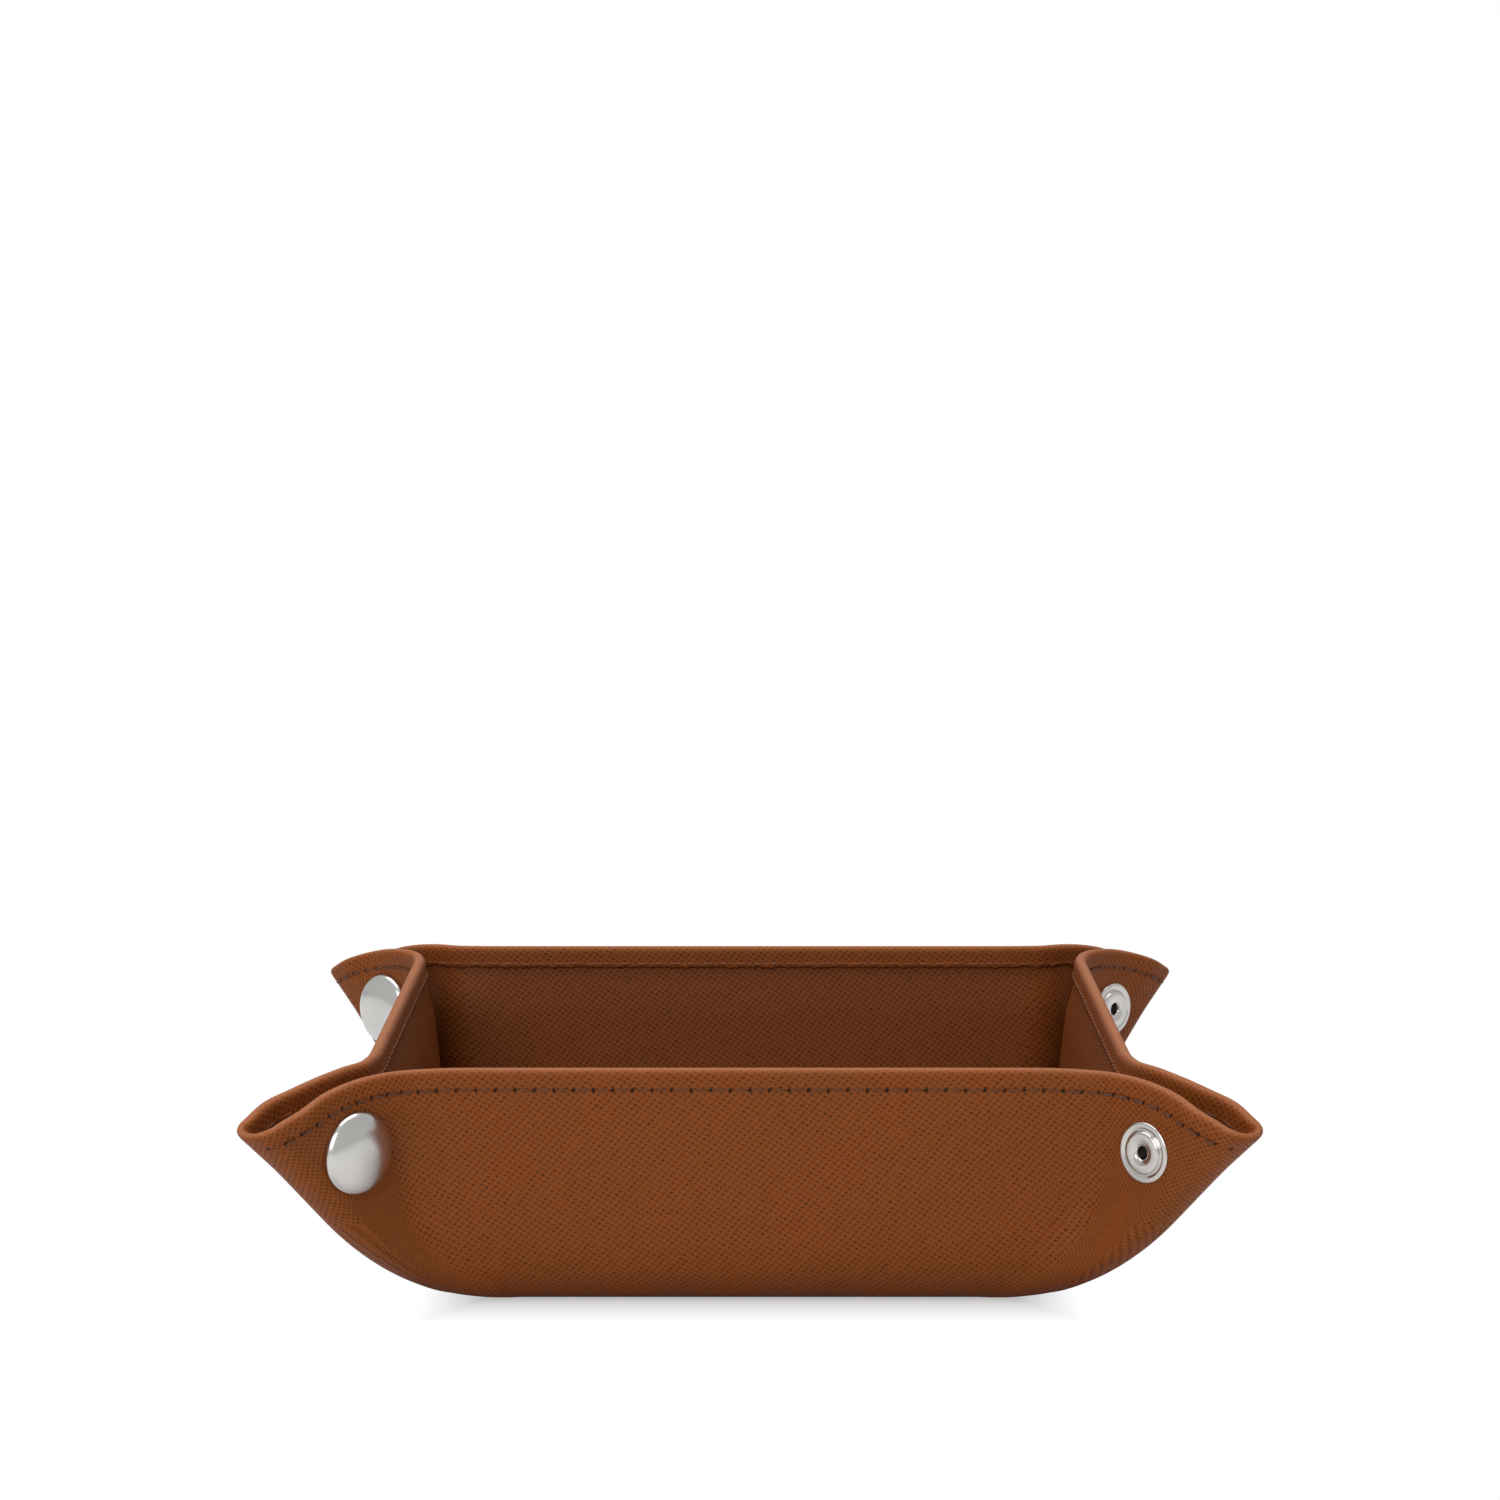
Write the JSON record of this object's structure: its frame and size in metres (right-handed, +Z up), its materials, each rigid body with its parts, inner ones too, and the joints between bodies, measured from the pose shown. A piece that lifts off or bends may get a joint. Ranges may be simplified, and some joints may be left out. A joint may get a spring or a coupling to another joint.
{
  "type": "valet tray",
  "caption": "Square leather catch-all tray whose sheet is pinched into ears at the corners by press studs; it unsnaps and lies flat.",
  "frame": {"origin": "middle of the base, on the table", "axes": "+Z up, the front wall at -Y, the right wall at +X"},
  "size_m": [0.1796, 0.1796, 0.0452],
  "materials": {
    "outer_leather": "cross-hatch embossed tan leather, satin",
    "lining": "cross-hatch embossed tan leather, satin",
    "board": "grey-brown pressed fibre board, matt",
    "cap_metal": "satin nickel plate",
    "stud_metal": "polished nickel plate"
  },
  "bodies": {
    "base": {"base_outer_leather": "outer_leather", "base_board": "board", "base_lining": "lining", "front_right_corner_outer_leather": "outer_leather", "front_right_corner_lining": "lining", "front_right_fold_outer_leather": "outer_leather", "front_right_fold_lining": "lining", "back_right_corner_outer_leather": "outer_leather", "back_right_corner_lining": "lining", "back_right_fold_outer_leather": "outer_leather", "back_right_fold_lining": "lining", "back_left_corner_outer_leather": "outer_leather", "back_left_corner_lining": "lining", "back_left_fold_outer_leather": "outer_leather", "back_left_fold_lining": "lining", "front_left_corner_outer_leather": "outer_leather", "front_left_corner_lining": "lining", "front_left_fold_outer_leather": "outer_leather", "front_left_fold_lining": "lining"},
    "front_wall": {"front_wall_outer_leather": "outer_leather", "front_wall_lining": "lining"},
    "right_wall": {"right_wall_outer_leather": "outer_leather", "right_wall_lining": "lining"},
    "back_wall": {"back_wall_outer_leather": "outer_leather", "back_wall_lining": "lining"},
    "left_wall": {"left_wall_outer_leather": "outer_leather", "left_wall_lining": "lining"},
    "front_post_ear": {"front_post_ear_outer_leather": "outer_leather", "front_post_ear_lining": "lining", "front_right_stud": "stud_metal", "front_right_post": "stud_metal"},
    "right_cap_ear": {"right_cap_ear_outer_leather": "outer_leather", "right_cap_ear_lining": "lining", "front_right_socket": "stud_metal", "front_right_cap": "cap_metal"},
    "right_post_ear": {"right_post_ear_outer_leather": "outer_leather", "right_post_ear_lining": "lining", "back_right_stud": "stud_metal", "back_right_post": "stud_metal"},
    "back_cap_ear": {"back_cap_ear_outer_leather": "outer_leather", "back_cap_ear_lining": "lining", "back_right_socket": "stud_metal", "back_right_cap": "cap_metal"},
    "back_post_ear": {"back_post_ear_outer_leather": "outer_leather", "back_post_ear_lining": "lining", "back_left_stud": "stud_metal", "back_left_post": "stud_metal"},
    "left_cap_ear": {"left_cap_ear_outer_leather": "outer_leather", "left_cap_ear_lining": "lining", "back_left_socket": "stud_metal", "back_left_cap": "cap_metal"},
    "left_post_ear": {"left_post_ear_outer_leather": "outer_leather", "left_post_ear_lining": "lining", "front_left_stud": "stud_metal", "front_left_post": "stud_metal"},
    "front_cap_ear": {"front_cap_ear_outer_leather": "outer_leather", "front_cap_ear_lining": "lining", "front_left_socket": "stud_metal", "front_left_cap": "cap_metal"}
  },
  "joints": [
    {"name": "front_wall_fold", "type": "hinge", "parent": "base", "child": "front_wall", "pos_m": [0, -0.06156, 0.00341], "axis": [1, 0, 0], "range_deg": [0, 83.5], "deforming": ["front_right_corner_outer_leather", "front_right_corner_lining", "front_right_fold_outer_leather", "front_right_fold_lining", "back_right_corner_outer_leather", "back_right_corner_lining", "back_right_fold_outer_leather", "back_right_fold_lining", "back_left_corner_outer_leather", "back_left_corner_lining", "back_left_fold_outer_leather", "back_left_fold_lining", "front_left_corner_outer_leather", "front_left_corner_lining", "front_left_fold_outer_leather", "front_left_fold_lining"]},
    {"name": "right_wall_fold", "type": "hinge", "parent": "base", "child": "right_wall", "pos_m": [0.06156, 0, 0.00341], "axis": [0, 1, 0], "range_deg": [0, 83.5]},
    {"name": "back_wall_fold", "type": "hinge", "parent": "base", "child": "back_wall", "pos_m": [0, 0.06156, 0.00341], "axis": [-1, 0, 0], "range_deg": [0, 83.5]},
    {"name": "left_wall_fold", "type": "hinge", "parent": "base", "child": "left_wall", "pos_m": [-0.06156, 0, 0.00341], "axis": [0, -1, 0], "range_deg": [0, 83.5]},
    {"name": "front_post_ear_bend", "type": "hinge", "parent": "front_wall", "child": "front_post_ear", "pos_m": [0.05897, -0.06209, 0], "axis": [0.1125, -0.1125, 0.9873], "range_deg": [0, 45.37]},
    {"name": "right_cap_ear_bend", "type": "hinge", "parent": "right_wall", "child": "right_cap_ear", "pos_m": [0.06209, -0.05897, 0], "axis": [-0.1125, 0.1125, -0.9873], "range_deg": [0, 45.37]},
    {"name": "right_post_ear_bend", "type": "hinge", "parent": "right_wall", "child": "right_post_ear", "pos_m": [0.06209, 0.05897, 0], "axis": [0.1125, 0.1125, 0.9873], "range_deg": [0, 45.37]},
    {"name": "back_cap_ear_bend", "type": "hinge", "parent": "back_wall", "child": "back_cap_ear", "pos_m": [0.05897, 0.06209, 0], "axis": [-0.1125, -0.1125, -0.9873], "range_deg": [0, 45.37]},
    {"name": "back_post_ear_bend", "type": "hinge", "parent": "back_wall", "child": "back_post_ear", "pos_m": [-0.05897, 0.06209, 0], "axis": [-0.1125, 0.1125, 0.9873], "range_deg": [0, 45.37]},
    {"name": "left_cap_ear_bend", "type": "hinge", "parent": "left_wall", "child": "left_cap_ear", "pos_m": [-0.06209, 0.05897, 0], "axis": [0.1125, -0.1125, -0.9873], "range_deg": [0, 45.37]},
    {"name": "left_post_ear_bend", "type": "hinge", "parent": "left_wall", "child": "left_post_ear", "pos_m": [-0.06209, -0.05897, 0], "axis": [-0.1125, -0.1125, 0.9873], "range_deg": [0, 45.37]},
    {"name": "front_cap_ear_bend", "type": "hinge", "parent": "front_wall", "child": "front_cap_ear", "pos_m": [-0.05897, -0.06209, 0], "axis": [0.1125, 0.1125, -0.9873], "range_deg": [0, 45.37]}
  ],
  "couplings": [
    {"joint": "right_wall_fold", "follows": "front_wall_fold", "ratio": 1},
    {"joint": "back_wall_fold", "follows": "front_wall_fold", "ratio": 1},
    {"joint": "left_wall_fold", "follows": "front_wall_fold", "ratio": 1},
    {"joint": "front_post_ear_bend", "follows": "front_wall_fold", "ratio": 0.54331},
    {"joint": "right_cap_ear_bend", "follows": "front_wall_fold", "ratio": 0.54331},
    {"joint": "right_post_ear_bend", "follows": "front_wall_fold", "ratio": 0.54331},
    {"joint": "back_cap_ear_bend", "follows": "front_wall_fold", "ratio": 0.54331},
    {"joint": "back_post_ear_bend", "follows": "front_wall_fold", "ratio": 0.54331},
    {"joint": "left_cap_ear_bend", "follows": "front_wall_fold", "ratio": 0.54331},
    {"joint": "left_post_ear_bend", "follows": "front_wall_fold", "ratio": 0.54331},
    {"joint": "front_cap_ear_bend", "follows": "front_wall_fold", "ratio": 0.54331}
  ]
}
